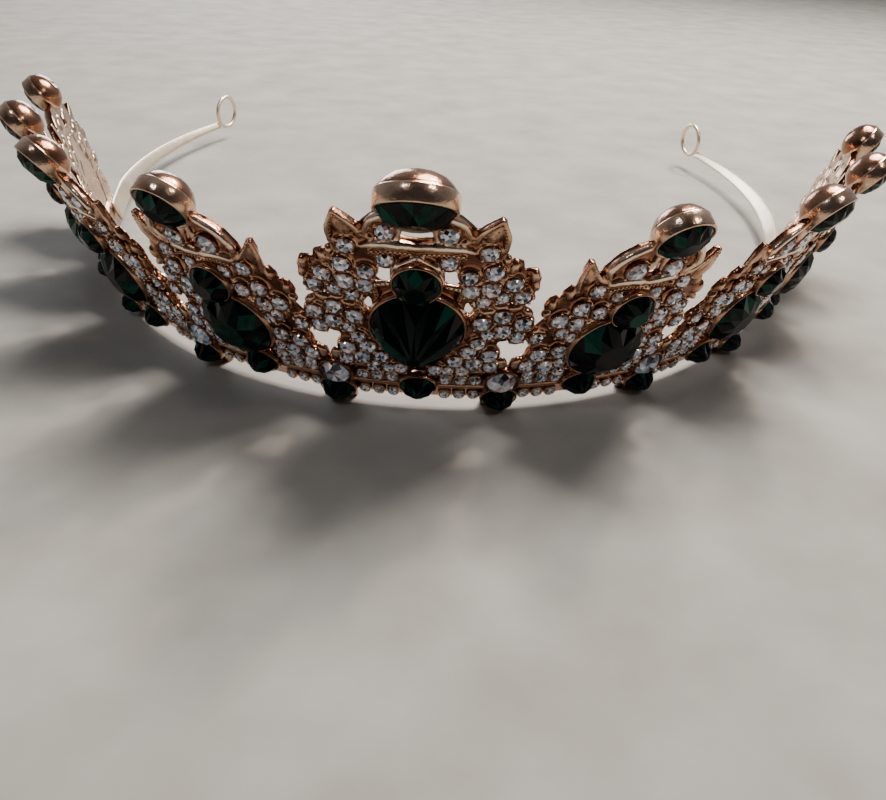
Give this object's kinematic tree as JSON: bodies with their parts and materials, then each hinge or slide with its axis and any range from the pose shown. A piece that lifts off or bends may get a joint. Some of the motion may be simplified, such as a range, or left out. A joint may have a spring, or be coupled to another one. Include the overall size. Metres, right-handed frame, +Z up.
{
  "type": "crown",
  "caption": "Baroque-style tiara: an outward-leaning horseshoe band of openwork rose-gold motifs set with green and clear stones, with springy side strips ending in pin loops.",
  "frame": {"origin": "on the floor, at the middle of the footprint box", "axes": "+Z up, +X to the wearer's left, -Y to the front"},
  "size_m": [0.1668, 0.1616, 0.0385],
  "materials": {
    "rose_gold": "cast zinc alloy with a polished rose-gold plating, warm copper brown in shade, with darker plating in the hollows",
    "pale_gold_strip": "thin springy strip with a bright pale gold plating",
    "emerald_glass": "very dark green faceted glass with a foiled back and sharp polished facets",
    "clear_rhinestone": "clear faceted glass with a silver foil back"
  },
  "bodies": {
    "root": {"base_band": "rose_gold", "between_stone_1": "emerald_glass", "between_stone_2": "emerald_glass", "between_stone_3": "emerald_glass", "between_stone_4": "emerald_glass", "between_stone_5": "emerald_glass", "between_stone_6": "emerald_glass", "between_stone_7": "emerald_glass", "between_stone_8": "emerald_glass", "front_base_stone": "emerald_glass", "front_big_stone": "emerald_glass", "front_casting": "rose_gold", "front_small_stone": "emerald_glass", "front_top_stone": "emerald_glass", "left_1_base_stone": "emerald_glass", "left_1_big_stone": "emerald_glass", "left_1_casting": "rose_gold", "left_1_small_stone": "emerald_glass", "left_1_top_stone": "emerald_glass", "left_2_base_stone": "emerald_glass", "left_2_big_stone": "emerald_glass", "left_2_casting": "rose_gold", "left_2_small_stone": "emerald_glass", "left_2_top_stone": "emerald_glass", "left_3_base_stone": "emerald_glass", "left_3_big_stone": "emerald_glass", "left_3_casting": "rose_gold", "left_3_small_stone": "emerald_glass", "left_3_top_stone": "emerald_glass", "left_4_base_stone": "emerald_glass", "left_4_big_stone": "emerald_glass", "left_4_casting": "rose_gold", "left_4_small_stone": "emerald_glass", "left_4_top_stone": "emerald_glass", "left_loop": "pale_gold_strip", "left_strip": "pale_gold_strip", "right_1_base_stone": "emerald_glass", "right_1_big_stone": "emerald_glass", "right_1_casting": "rose_gold", "right_1_small_stone": "emerald_glass", "right_1_top_stone": "emerald_glass", "right_2_base_stone": "emerald_glass", "right_2_big_stone": "emerald_glass", "right_2_casting": "rose_gold", "right_2_small_stone": "emerald_glass", "right_2_top_stone": "emerald_glass", "right_3_base_stone": "emerald_glass", "right_3_big_stone": "emerald_glass", "right_3_casting": "rose_gold", "right_3_small_stone": "emerald_glass", "right_3_top_stone": "emerald_glass", "right_4_base_stone": "emerald_glass", "right_4_big_stone": "emerald_glass", "right_4_casting": "rose_gold", "right_4_small_stone": "emerald_glass", "right_4_top_stone": "emerald_glass", "right_loop": "pale_gold_strip", "right_strip": "pale_gold_strip"}
  },
  "joints": []
}
